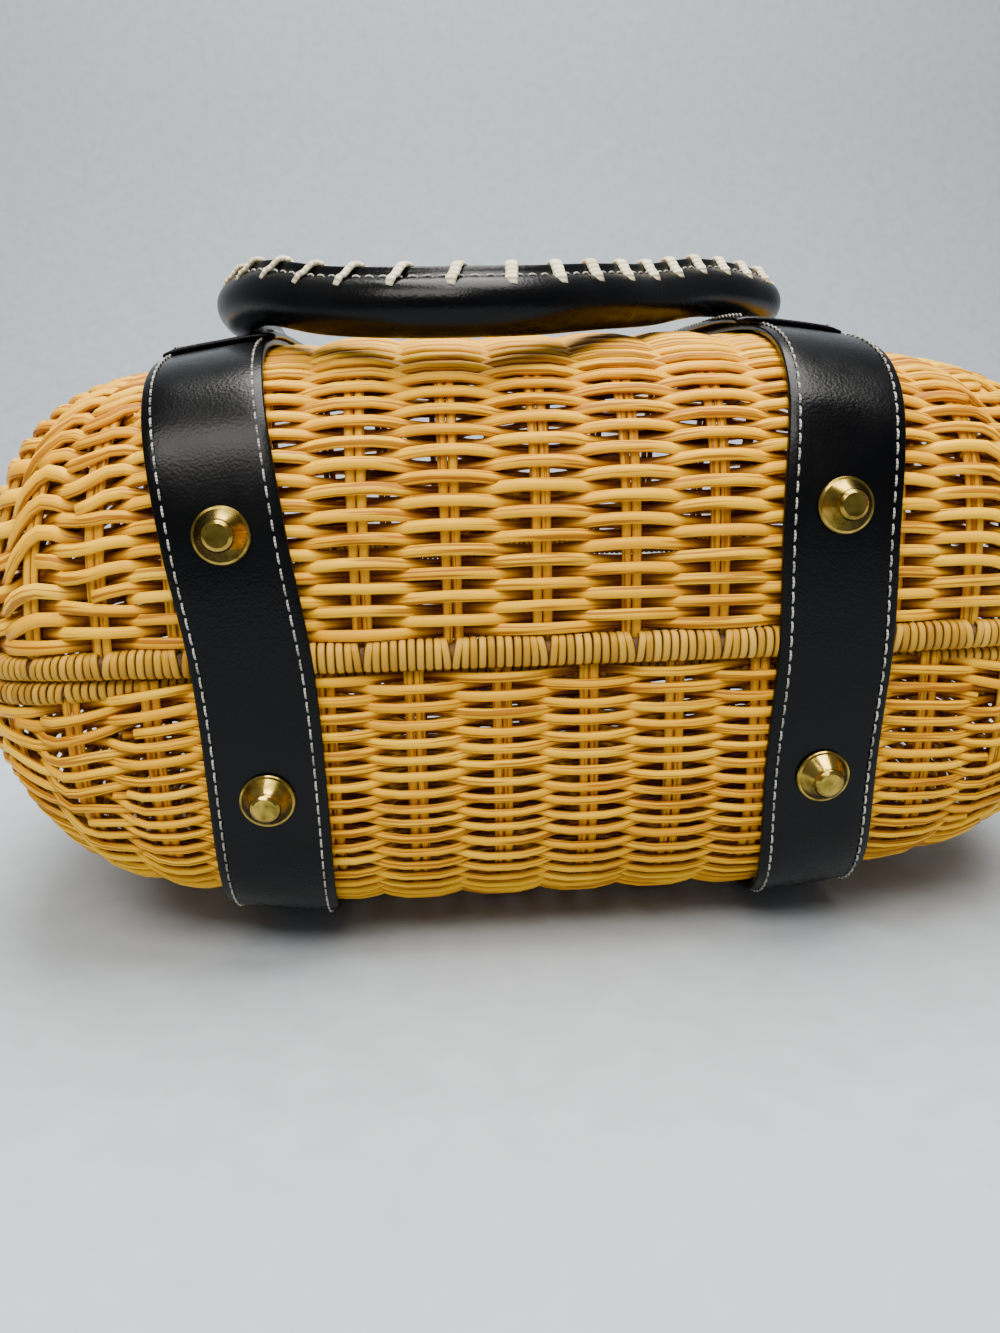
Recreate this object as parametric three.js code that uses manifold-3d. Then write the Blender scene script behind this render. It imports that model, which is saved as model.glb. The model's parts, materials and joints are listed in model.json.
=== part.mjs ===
// Wicker clutch bag, lying on one face: two woven bowls that meet at cane-wrapped rims,
// held by two leather straps round the bottom, with brass feet and rolled leather handles.
// Millimetres. +X along the bag, +Y from its bottom to its top, +Z up from the face it lies on.
import * as THREE from 'three';
import { ParametricGeometry } from 'three/addons/geometries/ParametricGeometry.js';
import { mergeVertices } from 'three/addons/utils/BufferGeometryUtils.js';
import Module from 'manifold-3d';

const wasm = await Module();
wasm.setup();

// Outline of the bag, seen square to its face
const halfWidth = 152;
const halfHeight = 92;
const endReach = 64;
const cornerPower = 3;

// Woven bowls: depth from the meeting plane to the face, and how square the wall turns into it
const bowls = {
  upper: { up: 1, depth: 73, power: 3.8 },
  lower: { up: -1, depth: 77, power: 4.4 },
};
const wall = 3;
const endPower = 2;
const roundingStart = 86;
// Each face is highest in its middle and falls by the sag towards the ends
const faceSag = 9;
const sagStart = 40;
const sagReach = 83;

// Cane-wrapped rims
const rimHeight = 5.5;
const rimDepth = 6;

// Straps and the handle tabs stitched over them
const strapWidth = 27;
const strapThickness = 1.8;
const strapEnd = 62;
const tabWidth = 29;
const tabThickness = 1.5;
const tabNear = -47;
const tabFar = 42;
const tabShift = { left: 0.5, right: -4 };
// Middle lines of the two straps by the angle round the bag, below zero on the lower bowl
const strapRoute = [
  { degrees: -60, left: -71, right: 64 },
  { degrees: -25, left: -70, right: 59.5 },
  { degrees: 0, left: -71.5, right: 61.5 },
  { degrees: 22, left: -75.5, right: 61.5 },
  { degrees: 60, left: -81.5, right: 67 },
];

// Plain strap end that keeps the bag shut at its top
const closingWidth = 30;
const closingThickness = 2;
const closingReach = 26;
const closingMiddle = -6;

// Brass feet
const footHeights = {
  left: { upper: 29.5, lower: -33.5 },
  right: { upper: 31.5, lower: -33 },
};
const footProfile = [
  { radius: 6.4, height: 0 },
  { radius: 6.4, height: 0.8 },
  { radius: 5.8, height: 1.2 },
  { radius: 3.5, height: 4.2 },
  { radius: 2.9, height: 5.1 },
  { radius: 2.6, height: 5.3 },
];

// Handles: a rolled tube whose ends flatten into tongues sewn to the straps
const handleDiameter = 13.4;
const ridgeHeight = 1.5;
const tongueWidth = 13;
const tongueThickness = 2.2;
const upperTongue = 42;
const upperTaper = 22;
const lowerTongue = 18;
const lowerTaper = 20;
// x and y in the bag's frame, lift above the middle of the upper face
const upperRoute = [
  { x: -81.5, y: 44, lift: -1 },
  { x: -81.5, y: 54, lift: -2.2 },
  { x: -81.5, y: 61, lift: -2 },
  { x: -81.5, y: 63, lift: 1 },
  { x: -81.5, y: 58, lift: 4.4 },
  { x: -81.5, y: 46, lift: 5 },
  { x: -81.5, y: 30, lift: 6.5 },
  { x: -81.5, y: 12, lift: 7.6 },
  { x: -80, y: -8, lift: 7.9 },
  { x: -77, y: -27, lift: 8.1 },
  { x: -68, y: -46, lift: 8 },
  { x: -53, y: -63, lift: 4.4 },
  { x: -36, y: -73, lift: 2.8 },
  { x: -20, y: -75, lift: 2.6 },
  { x: -5, y: -70, lift: 3.2 },
  { x: 11, y: -57, lift: 5 },
  { x: 28, y: -39, lift: 7 },
  { x: 45, y: -21, lift: 10.4 },
  { x: 62, y: -4, lift: 10.7 },
  { x: 73, y: 11, lift: 10 },
  { x: 75, y: 28, lift: 8.9 },
  { x: 72, y: 46, lift: 6.4 },
  { x: 69, y: 58, lift: 5.8 },
  { x: 68, y: 63, lift: 2.4 },
  { x: 67.5, y: 61, lift: -0.3 },
  { x: 67, y: 54, lift: -0.5 },
  { x: 67, y: 44, lift: 0.7 },
];
// The lower handle lies on the floor past the bag's top; lift is above the lower face here
const lowerRoute = [
  { x: -71, y: 43.5, lift: -0.8 },
  { x: -71.3, y: 54, lift: 0.1 },
  { x: -72, y: 63, lift: 1.7 },
  { x: -73, y: 72, lift: 2.8 },
  { x: -74, y: 82, lift: 3.7 },
  { x: -75, y: 96, lift: 3.7 },
  { x: -72, y: 116, lift: 3.7 },
  { x: -62, y: 138, lift: 3.7 },
  { x: -44, y: 155, lift: 3.7 },
  { x: -20, y: 163, lift: 3.7 },
  { x: 6, y: 163, lift: 3.7 },
  { x: 31, y: 155, lift: 3.7 },
  { x: 51, y: 138, lift: 3.7 },
  { x: 63, y: 116, lift: 3.7 },
  { x: 66, y: 96, lift: 3.7 },
  { x: 66, y: 82, lift: 3.7 },
  { x: 65, y: 72, lift: 2.8 },
  { x: 64.5, y: 63, lift: 1.2 },
  { x: 64, y: 54, lift: -0.4 },
  { x: 64, y: 43.5, lift: -1.3 },
];

// Clearances
const gap = 0.3;
const seat = 0.5;

// How finely the curved pieces are divided
const cornerColumns = 10;
const sideColumns = 6;
const wallRings = 10;
const rimSides = 6;
const strapSteps = 70;
const tabSteps = 12;
const closingSteps = 14;
const handleSides = 12;
const handleSteps = 42;
const footSides = 16;
const weldTolerance = 1e-3;

const straightHalf = halfWidth - endReach;
const quarterColumns = cornerColumns + sideColumns;
const columns = 4 * quarterColumns;

const materials = {
  wicker: { color: 0xd9a050, roughness: 0.45, metalness: 0 },
  cane: { color: 0xc79a5a, roughness: 0.5, metalness: 0 },
  leather: { color: 0x15141a, roughness: 0.3, metalness: 0 },
  brass: { color: 0xb59a4a, roughness: 0.25, metalness: 1 },
};

// Piece of the surface of the bag

function faceDrop(x) {
  return faceSag * THREE.MathUtils.smoothstep(Math.abs(x), sagStart, sagStart + sagReach);
}

// The wall turns into the face more roundly towards the ends
function powerAt(bowl, x) {
  const endward = THREE.MathUtils.smoothstep(Math.abs(x), roundingStart, halfWidth);
  return THREE.MathUtils.lerp(bowl.power, endPower, endward);
}

function depthAt(bowl, x, inset) {
  return bowl.depth - inset - faceDrop(x);
}

// Share of the way from the bag's middle line (0) to its outline (1)
function shareAt(x, y, inset) {
  const endShare = Math.max(Math.abs(x) - straightHalf, 0) / (endReach - inset);
  const sideShare = Math.abs(y) / (halfHeight - inset);
  return (endShare ** cornerPower + sideShare ** cornerPower) ** (1 / cornerPower);
}

// Point of the outline in a column counted round the bag from its right end
function outlinePoint(column, inset) {
  const quarter = Math.floor(column / quarterColumns) % 4;
  const step = column % quarterColumns;
  const fromEnd = quarter % 2 === 0 ? step : quarterColumns - step;
  const turn = Math.min(fromEnd / cornerColumns, 1) * Math.PI / 2;
  const along = Math.cos(turn);
  const across = Math.sin(turn);
  const size = (along ** cornerPower + across ** cornerPower) ** (-1 / cornerPower);
  const sideShare = Math.max(fromEnd - cornerColumns, 0) / sideColumns;
  const x = straightHalf * (1 - sideShare) + (endReach - inset) * along * size;
  const y = (halfHeight - inset) * across * size;
  const right = quarter === 0 || quarter === 3;
  const far = quarter < 2;
  return { x: right ? x : -x, y: far ? y : -y };
}

function scaledOutline(column, inset, share) {
  const edge = outlinePoint(column, inset);
  const foot = THREE.MathUtils.clamp(edge.x, -straightHalf, straightHalf);
  return { x: foot + (edge.x - foot) * share, y: edge.y * share };
}

// Point on the bag's skin in the section at x, by the angle from the bottom seam;
// below zero is the lower bowl, and 180 degrees is the seam at the top
function skinPoint(x, degrees, facing) {
  const bowl = degrees < 0 ? bowls.lower : bowls.upper;
  const angle = THREE.MathUtils.degToRad(Math.abs(degrees));
  const depth = depthAt(bowl, x, 0);
  const power = powerAt(bowl, x);
  const isOutside = (scale) => {
    const share = shareAt(x, scale * halfHeight * Math.cos(angle), 0);
    return share ** power + (scale * Math.sin(angle)) ** power > 1;
  };
  let inner = 0;
  let outer = 2;
  for (let halving = 0; halving < 40; halving += 1) {
    const middle = (inner + outer) / 2;
    if (isOutside(middle)) outer = middle;
    else inner = middle;
  }
  const y = facing * inner * halfHeight * Math.cos(angle);
  return new THREE.Vector3(x, y, bowl.up * inner * depth * Math.sin(angle));
}

function skinNormal(x, degrees, facing) {
  const nudge = 0.5;
  const before = skinPoint(x, degrees - nudge, facing);
  const after = skinPoint(x, degrees + nudge, facing);
  const along = after.sub(before).normalize();
  return new THREE.Vector3(0, facing * along.z, -facing * along.y).normalize();
}

function raisedPoint(x, degrees, facing, lift) {
  return skinPoint(x, degrees, facing).addScaledVector(skinNormal(x, degrees, facing), lift);
}

// Angle at which the face of a bowl is y from the bag's middle
function angleAtY(bowl, y) {
  const share = Math.abs(y) / halfHeight;
  const height = (1 - share ** bowl.power) ** (1 / bowl.power);
  return THREE.MathUtils.radToDeg(Math.atan2(height, -y / halfHeight));
}

// Shaping of meshes

function bent(geometry, place) {
  const position = geometry.attributes.position;
  const point = new THREE.Vector3();
  for (let index = 0; index < position.count; index += 1) {
    point.fromBufferAttribute(position, index);
    const moved = place(point.x, point.y, point.z);
    position.setXYZ(index, moved.x, moved.y, moved.z);
  }
  return welded(geometry);
}

function welded(geometry) {
  geometry.deleteAttribute('normal');
  geometry.deleteAttribute('uv');
  const merged = mergeVertices(geometry, weldTolerance);
  const corners = merged.index.array;
  const kept = [];
  for (let index = 0; index < corners.length; index += 3) {
    const [a, b, c] = corners.slice(index, index + 3);
    if (a !== b && b !== c && c !== a) kept.push(a, b, c);
  }
  merged.setIndex(kept);
  merged.computeVertexNormals();
  return merged;
}

function toManifold(geometry) {
  return new wasm.Manifold(new wasm.Mesh({
    numProp: 3,
    vertProperties: geometry.attributes.position.array,
    triVerts: new Uint32Array(geometry.index.array),
  }));
}

function fromManifold(solid) {
  const mesh = solid.getMesh();
  const geometry = new THREE.BufferGeometry();
  geometry.setAttribute('position', new THREE.BufferAttribute(mesh.vertProperties, 3));
  geometry.setIndex(new THREE.BufferAttribute(mesh.triVerts, 1));
  geometry.computeVertexNormals();
  return geometry;
}

// Pieces

// Solid dome from a flat base at the height start, either bowl's outside or its hollow
function dome(bowl, inset, start) {
  const stacks = wallRings + 1;
  const shape = (around, upward, target) => {
    const turned = bowl.up > 0 ? around : 1 - around;
    const column = Math.round(turned * columns) % columns;
    const ring = Math.round(upward * stacks);
    const edge = outlinePoint(column, inset);
    const edgePower = powerAt(bowl, edge.x);
    const baseHeight = start / depthAt(bowl, edge.x, inset);
    const baseAngle = Math.atan2(baseHeight, (1 - baseHeight ** edgePower) ** (1 / edgePower));
    const angle = THREE.MathUtils.lerp(baseAngle, Math.PI / 2, Math.max(ring - 1, 0) / wallRings);
    const across = Math.max(Math.cos(angle), 0);
    const size = (across ** edgePower + Math.sin(angle) ** edgePower) ** (-1 / edgePower);
    const share = ring === 0 || ring === stacks ? 0 : across * size;
    const place = scaledOutline(column, inset, share);
    const power = powerAt(bowl, place.x);
    const height = (1 - share ** power) ** (1 / power) * depthAt(bowl, place.x, inset);
    target.set(place.x, place.y, bowl.up * (ring < 2 ? start : height));
  };
  return toManifold(welded(new ParametricGeometry(shape, columns, stacks)));
}

function basketBowl(bowl) {
  const base = gap / 2 + rimHeight + gap;
  const hollow = dome(bowl, wall, gap);
  return fromManifold(dome(bowl, 0, base).subtract(hollow));
}

function rim(bowl) {
  const shape = (around, section, target) => {
    const column = Math.round(around * columns) % columns;
    const turn = 2 * Math.PI * (Math.round(section * rimSides) % rimSides + 0.5) / rimSides;
    const bulge = 1 / Math.cos(Math.PI / rimSides);
    const inset = rimDepth / 2 * (1 - Math.sin(turn));
    const height = gap / 2 + rimHeight / 2 * (1 - Math.cos(turn) * bulge);
    const edge = outlinePoint(column, inset);
    target.set(edge.x, edge.y, bowl.up * height);
  };
  const geometry = new ParametricGeometry(shape, columns, rimSides);
  return welded(bowl.up > 0 ? geometry : turnedInsideOut(geometry));
}

function turnedInsideOut(geometry) {
  const corners = geometry.index.array;
  for (let index = 0; index < corners.length; index += 3) {
    [corners[index], corners[index + 1]] = [corners[index + 1], corners[index]];
  }
  return geometry;
}

// Flat strip laid on the skin: centreX gives its middle line by the angle round the bag
function skinStrip({ width, thickness, steps, from, to, facing, lift, centreX }) {
  const box = new THREE.BoxGeometry(width, thickness, 1, 1, 1, steps);
  return bent(box, (across, through, along) => {
    const degrees = THREE.MathUtils.lerp(from, to, along + 0.5);
    const height = lift + thickness / 2 + through;
    return raisedPoint(centreX(degrees) + across, degrees, facing, height);
  });
}

function strapMiddle(side, degrees) {
  const last = strapRoute.length - 1;
  const passed = strapRoute.findIndex((row) => row.degrees > degrees);
  const next = THREE.MathUtils.clamp(passed < 0 ? last : passed, 1, last);
  const from = strapRoute[next - 1];
  const to = strapRoute[next];
  const turned = THREE.MathUtils.smoothstep(degrees, from.degrees, to.degrees);
  return THREE.MathUtils.lerp(from[side], to[side], turned);
}

function strapStrip(side) {
  return skinStrip({
    width: strapWidth,
    thickness: strapThickness,
    steps: strapSteps,
    from: angleAtY(bowls.upper, strapEnd),
    to: -angleAtY(bowls.lower, strapEnd),
    facing: -1,
    lift: seat,
    centreX: (degrees) => strapMiddle(side, degrees),
  });
}

function handleTab(side, bowl) {
  const ends = [angleAtY(bowl, tabFar), angleAtY(bowl, tabNear)];
  const [from, to] = bowl.up > 0 ? ends : [-ends[1], -ends[0]];
  const shift = bowl.up > 0 ? tabShift[side] : 0;
  return skinStrip({
    width: tabWidth,
    thickness: tabThickness,
    steps: tabSteps,
    from,
    to,
    facing: -1,
    lift: seat + strapThickness + gap,
    centreX: (degrees) => strapMiddle(side, degrees) + shift,
  });
}

function closingStrap() {
  const reach = (bowl) => THREE.MathUtils.radToDeg(Math.asin(closingReach / bowl.depth));
  return skinStrip({
    width: closingWidth,
    thickness: closingThickness,
    steps: closingSteps,
    from: -reach(bowls.lower),
    to: reach(bowls.upper),
    facing: 1,
    lift: seat,
    centreX: () => closingMiddle,
  });
}

// Foot standing square on its strap at a height above or below the seam
function bagFoot(side, height) {
  const bowl = height > 0 ? bowls.upper : bowls.lower;
  const degrees = THREE.MathUtils.radToDeg(Math.atan2(height, bowl.depth));
  const x = strapMiddle(side, degrees);
  const outline = [new THREE.Vector2(0, footProfile[0].height)];
  footProfile.forEach((row) => outline.push(new THREE.Vector2(row.radius, row.height)));
  outline.push(new THREE.Vector2(0, footProfile.at(-1).height));
  const lathe = new THREE.LatheGeometry(outline, footSides);
  const upright = new THREE.Vector3(0, 1, 0);
  const turn = new THREE.Quaternion().setFromUnitVectors(upright, skinNormal(x, degrees, -1));
  const base = raisedPoint(x, degrees, -1, seat + strapThickness + gap);
  return bent(lathe, (...corner) => new THREE.Vector3(...corner).applyQuaternion(turn).add(base));
}

// Rolled tube along a route, flattened into a tongue at each end, with its seam ridge on top
function handle({ points, tongue, taper }) {
  const curve = new THREE.CatmullRomCurve3(points, false, 'centripetal');
  const length = curve.getLength();
  const tongueShare = tongue / length;
  const cylinder = new THREE.CylinderGeometry(1, 1, 1, handleSides, handleSteps);
  return bent(cylinder, (across, along, through) => {
    const share = along + 0.5;
    const fromEnd = length * Math.min(share, 1 - share);
    const leg = curve.getTangentAt(THREE.MathUtils.clamp(share, tongueShare, 1 - tongueShare));
    const side = new THREE.Vector3(leg.y, -leg.x, 0).normalize();
    const up = side.clone().cross(curve.getTangentAt(share)).normalize();
    const roundness = THREE.MathUtils.smoothstep(fromEnd, tongue, tongue + taper);
    const wide = THREE.MathUtils.lerp(tongueWidth, handleDiameter, roundness) / 2;
    const thick = THREE.MathUtils.lerp(tongueThickness, handleDiameter, roundness) / 2;
    const onTop = THREE.MathUtils.smoothstep(through * up.z, 0.94, 1);
    const rise = through * (thick + ridgeHeight * onTop * roundness);
    const offset = side.multiplyScalar(across * wide).addScaledVector(up, rise);
    return curve.getPointAt(share).add(offset);
  });
}

function upperHandle() {
  const points = upperRoute.map(({ x, y, lift }) => new THREE.Vector3(x, y, bowls.upper.depth + lift));
  return handle({ points, tongue: upperTongue, taper: upperTaper });
}

function lowerHandle() {
  const points = lowerRoute.map(({ x, y, lift }) => new THREE.Vector3(x, y, lift - bowls.lower.depth));
  return handle({ points, tongue: lowerTongue, taper: lowerTaper });
}

// Assembly

const bag = new THREE.Group();

function addPiece(name, geometry, finish) {
  const mesh = new THREE.Mesh(geometry, new THREE.MeshStandardMaterial(materials[finish]));
  mesh.name = name;
  bag.add(mesh);
}

for (const [name, bowl] of Object.entries(bowls)) {
  addPiece(`basket_${name}`, basketBowl(bowl), 'wicker');
  addPiece(`rim_${name}`, rim(bowl), 'cane');
}
for (const side of ['left', 'right']) {
  addPiece(`strap_${side}`, strapStrip(side), 'leather');
  addPiece(`foot_upper_${side}`, bagFoot(side, footHeights[side].upper), 'brass');
  addPiece(`foot_lower_${side}`, bagFoot(side, footHeights[side].lower), 'brass');
  addPiece(`handle_tab_upper_${side}`, handleTab(side, bowls.upper), 'leather');
  addPiece(`handle_tab_lower_${side}`, handleTab(side, bowls.lower), 'leather');
}
addPiece('handle_upper', upperHandle(), 'leather');
addPiece('handle_lower', lowerHandle(), 'leather');
addPiece('closing_strap', closingStrap(), 'leather');

// The bag stands with its lowest point on the floor, over the middle of its bounding box
const bounds = new THREE.Box3().setFromObject(bag, true);
const middle = bounds.getCenter(new THREE.Vector3());
bag.position.set(-middle.x, -middle.y, -bounds.min.z);

export default bag;
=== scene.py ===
import json
import math

import bmesh
import bpy
import numpy as np
from mathutils import Matrix, Vector


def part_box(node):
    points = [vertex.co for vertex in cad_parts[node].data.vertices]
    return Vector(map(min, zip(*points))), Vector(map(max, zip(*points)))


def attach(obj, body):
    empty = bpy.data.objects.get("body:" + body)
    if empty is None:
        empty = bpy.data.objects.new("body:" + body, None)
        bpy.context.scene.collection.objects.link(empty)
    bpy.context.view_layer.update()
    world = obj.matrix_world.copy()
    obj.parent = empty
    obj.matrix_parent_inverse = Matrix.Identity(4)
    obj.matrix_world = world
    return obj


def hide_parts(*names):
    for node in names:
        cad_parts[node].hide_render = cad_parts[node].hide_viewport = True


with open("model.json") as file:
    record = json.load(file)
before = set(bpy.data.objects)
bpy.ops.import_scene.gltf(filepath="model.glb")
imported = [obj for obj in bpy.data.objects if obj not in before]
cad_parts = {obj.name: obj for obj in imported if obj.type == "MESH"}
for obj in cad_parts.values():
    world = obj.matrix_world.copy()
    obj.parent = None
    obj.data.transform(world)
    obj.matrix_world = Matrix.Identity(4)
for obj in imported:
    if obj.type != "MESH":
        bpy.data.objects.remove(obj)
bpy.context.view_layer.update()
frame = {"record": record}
print("frame loaded")

# Lengths of the bag are millimetres in its own frame: x along the bag, y from its base to its
# mouth, z up from the plane in which the two rims meet
mm = 0.001
rimGap = 0.15
rimLow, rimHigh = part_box("rim_upper")
bagMiddle = np.array([0.0, (rimLow.y + rimHigh.y) / 2, rimLow.z - rimGap * mm])

bag = {
    "straightHalf": 88.0, "halfHeight": 92.0, "endReach": 64.0, "cornerPower": 3.0,
    "endPower": 2.0, "roundingStart": 86.0, "faceSag": 9.0, "sagStart": 40.0, "sagReach": 83.0,
}
halfWidth = bag["straightHalf"] + bag["endReach"]
bowls = {
    "upper": {"up": 1, "depth": 73.0, "power": 3.8},
    "lower": {"up": -1, "depth": 77.0, "power": 4.4},
}


def smooth(value, start, end):
    share = np.clip((value - start) / (end - start), 0, 1)
    return share * share * (3 - 2 * share)


def unit(vectors):
    return vectors / np.linalg.norm(vectors, axis=-1, keepdims=True)


def faceDrop(x):
    return bag["faceSag"] * smooth(np.abs(x), bag["sagStart"], bag["sagStart"] + bag["sagReach"])


def powerAt(bowl, x):
    endward = smooth(np.abs(x), bag["roundingStart"], halfWidth)
    return bowl["power"] + (bag["endPower"] - bowl["power"]) * endward


# Outline of the bag, from the middle of its base towards the right end and round
def outlineTable(inset):
    power = bag["cornerPower"]
    turn = np.linspace(0, np.pi / 2, 200)
    size = (np.cos(turn) ** power + np.sin(turn) ** power) ** (-1 / power)
    cornerX = bag["straightHalf"] + (bag["endReach"] - inset) * np.cos(turn) * size
    cornerY = (bag["halfHeight"] - inset) * np.sin(turn) * size
    side = np.linspace(0, bag["straightHalf"], 60)[:-1]
    quarter = np.concatenate([
        np.stack([side, np.full_like(side, cornerY[-1])], 1),
        np.stack([cornerX, cornerY], 1)[::-1],
    ])
    lowerRight = quarter * [1, -1]
    upperRight = quarter[::-1][1:]
    upperLeft = quarter[1:] * [-1, 1]
    lowerLeft = quarter[::-1][1:] * [-1, -1]
    return np.concatenate([lowerRight, upperRight, upperLeft, lowerLeft])


skinOutline = outlineTable(0)
outlineLengths = np.concatenate([
    [0], np.cumsum(np.linalg.norm(np.diff(skinOutline, axis=0), axis=1)),
])
fullTurn = outlineLengths[-1]


def outlineAt(lengths, inset):
    table = outlineTable(inset)
    lengths = np.mod(lengths, fullTurn)
    return np.stack([np.interp(lengths, outlineLengths, table[:, axis]) for axis in (0, 1)], -1)


# Lines of the skin from the rim to the bag's middle line, one for each place on the outline
def meridians(bowl, lengths, inset, samples=160):
    edge = outlineAt(lengths, inset)[:, None, :]
    foot = np.clip(edge[..., 0], -bag["straightHalf"], bag["straightHalf"])
    turn = np.linspace(0, np.pi / 2, samples)[None, :]
    edgePower = powerAt(bowl, edge[..., 0])
    size = (np.cos(turn) ** edgePower + np.sin(turn) ** edgePower) ** (-1 / edgePower)
    share = np.clip(np.cos(turn) * size, 0, 1)
    x = foot + (edge[..., 0] - foot) * share
    y = edge[..., 1] * share
    power = powerAt(bowl, x)
    height = (1 - share ** power) ** (1 / power) * (bowl["depth"] - inset - faceDrop(x))
    return np.stack([x, y, bowl["up"] * height], -1)


# Angle round the section at x, from the seam at the base; below zero is the lower bowl
def skinPoint(x, degrees, facing):
    x, degrees = np.broadcast_arrays(np.asarray(x, float), np.asarray(degrees, float))
    isLower = degrees < 0
    angle = np.radians(np.abs(degrees))
    depth = np.where(isLower, bowls["lower"]["depth"], bowls["upper"]["depth"]) - faceDrop(x)
    power = np.where(isLower, powerAt(bowls["lower"], x), powerAt(bowls["upper"], x))
    endShare = np.maximum(np.abs(x) - bag["straightHalf"], 0) / bag["endReach"]
    inner, outer = np.zeros_like(x), np.full_like(x, 2.0)
    for _ in range(36):
        middle = (inner + outer) / 2
        sideShare = np.abs(middle * np.cos(angle))
        corner = bag["cornerPower"]
        share = (endShare ** corner + sideShare ** corner) ** (1 / corner)
        outside = share ** power + (middle * np.sin(angle)) ** power > 1
        outer = np.where(outside, middle, outer)
        inner = np.where(outside, inner, middle)
    y = facing * inner * bag["halfHeight"] * np.cos(angle)
    z = np.where(isLower, -1, 1) * inner * depth * np.sin(angle)
    return np.stack([x, y, z], -1)


def skinNormal(x, degrees, facing):
    nudge = 0.5
    along = skinPoint(x, degrees + nudge, facing) - skinPoint(x, degrees - nudge, facing)
    zero = np.zeros_like(along[..., 0])
    return unit(np.stack([zero, facing * along[..., 2], -facing * along[..., 1]], -1))


def raisedPoint(x, degrees, facing, lift):
    lift = np.asarray(lift, float)[..., None]
    return skinPoint(x, degrees, facing) + skinNormal(x, degrees, facing) * lift


def angleAtY(bowl, y):
    share = abs(y) / bag["halfHeight"]
    height = (1 - share ** bowl["power"]) ** (1 / bowl["power"])
    return math.degrees(math.atan2(height, -y / bag["halfHeight"]))


# Materials

def linearColour(hexText):
    parts = [int(hexText[start:start + 2], 16) / 255 for start in (1, 3, 5)]
    return [p / 12.92 if p <= 0.04045 else ((p + 0.055) / 1.055) ** 2.4 for p in parts] + [1.0]


# Scale of a pattern that comes so many times in a length in millimetres
def repeats(count, length):
    return count / (length * mm)


def newMaterial(name):
    material = bpy.data.materials.new(name)
    material.use_nodes = True
    shader = material.node_tree.nodes["Principled BSDF"]
    return material, material.node_tree, shader


# Adds a node with its settings and colour stops, fills its inputs with values or links, and gives
# one output; an input goes by its name, or by i and its number where several share a name
def addNode(tree, kind, output, settings=None, stops=(), **inputs):
    node = tree.nodes.new("ShaderNode" + kind)
    for setting, value in (settings or {}).items():
        setattr(node, setting, value)
    for name, value in inputs.items():
        numbered = name[0] == "i" and name[1:].isdigit()
        socket = node.inputs[int(name[1:]) if numbered else name]
        if isinstance(value, bpy.types.NodeSocket):
            tree.links.new(value, socket)
        else:
            socket.default_value = value
    elements = node.color_ramp.elements if stops else []
    while len(elements) < len(stops):
        elements.new(0.5)
    for element, (place, colour) in zip(elements, stops):
        element.position = place
        element.color = linearColour(colour)
    return node.outputs[output]


mixed = {"data_type": "RGBA", "blend_type": "MIX"}
multiplied = {"data_type": "RGBA", "blend_type": "MULTIPLY"}
scaledSum = {"operation": "MULTIPLY_ADD"}


# Lengthwise fibre places of a reed or strip, in metres along it and round it
def fibrePlaces(tree, stretch):
    along = addNode(tree, "Attribute", "Fac", {"attribute_name": "along"})
    around = addNode(tree, "Attribute", "Fac", {"attribute_name": "around"})
    tone = addNode(tree, "Attribute", "Fac", {"attribute_name": "tone"})
    stretched = addNode(tree, "Math", 0, {"operation": "MULTIPLY"}, i0=along, i1=stretch)
    return addNode(tree, "CombineXYZ", 0, X=stretched, Y=around, Z=tone)


# Varnished round reed: honey gold with amber blotches and brown fibre lines, plus painted shade that
# darkens each row where it passes behind the stakes. Its fibre lines are 13 in 10 mm and 40 times as long
# as wide, coarser than real ones so that they show
def makeReed():
    material, tree, shader = newMaterial("varnished_reed")
    places = addNode(tree, "TexCoord", "Object")
    front = addNode(tree, "Attribute", "Fac", {"attribute_name": "front"})
    own = addNode(tree, "Attribute", "Fac", {"attribute_name": "tone"})
    fibres = addNode(tree, "TexNoise", 0, Vector=fibrePlaces(tree, 1 / 40), Scale=repeats(13, 10),
                     Detail=2.0)
    patches = addNode(tree, "TexNoise", 0, Vector=fibrePlaces(tree, 0.35), Scale=repeats(9, 100),
                      Detail=2.0)
    blotches = addNode(tree, "TexNoise", 0, Vector=places, Scale=repeats(24, 1000), Detail=3.0)
    offset = addNode(tree, "MapRange", 0, i0=own, i1=0.0, i2=1.0, i3=0.02, i4=0.24)
    tone = addNode(tree, "Math", 0, scaledSum, i0=patches, i1=0.75, i2=offset)
    honey = addNode(tree, "ValToRGB", "Color", Fac=tone, stops=[
        (0.15, "#cf8a00"), (0.4, "#eba800"), (0.62, "#f8bc0e"), (0.9, "#ffd345")])
    lines = addNode(tree, "MapRange", 0, i0=fibres, i1=0.53, i2=0.6, i3=0.0, i4=0.9)
    lined = addNode(tree, "Mix", 2, multiplied, i0=lines, i6=honey, i7=linearColour("#ab8c52"))
    spread = addNode(tree, "MapRange", 0, i0=blotches, i1=0.58, i2=0.78, i3=0.0, i4=0.3)
    amber = addNode(tree, "Mix", 2, mixed, i0=spread, i6=lined, i7=linearColour("#c28608"))
    # Painted shade: towards dark brown where the row passes behind the stakes (front below zero)
    paintedShadeMask = addNode(tree, "MapRange", 0, i0=front, i1=-1.0, i2=0.1, i3=0.92, i4=0.0)
    shaded = addNode(tree, "Mix", 2, multiplied, i0=paintedShadeMask, i6=amber, i7=linearColour("#6e3a0c"))
    rough = addNode(tree, "MapRange", 0, i0=fibres, i1=0.3, i2=0.7, i3=0.36, i4=0.52)
    grain = addNode(tree, "Bump", "Normal", Height=fibres, Distance=0.22 * mm, Strength=1.0)
    tree.links.new(shaded, shader.inputs["Base Color"])
    tree.links.new(rough, shader.inputs["Roughness"])
    tree.links.new(grain, shader.inputs["Normal"])
    shader.inputs["Specular IOR Level"].default_value = 0.16
    return material
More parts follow.
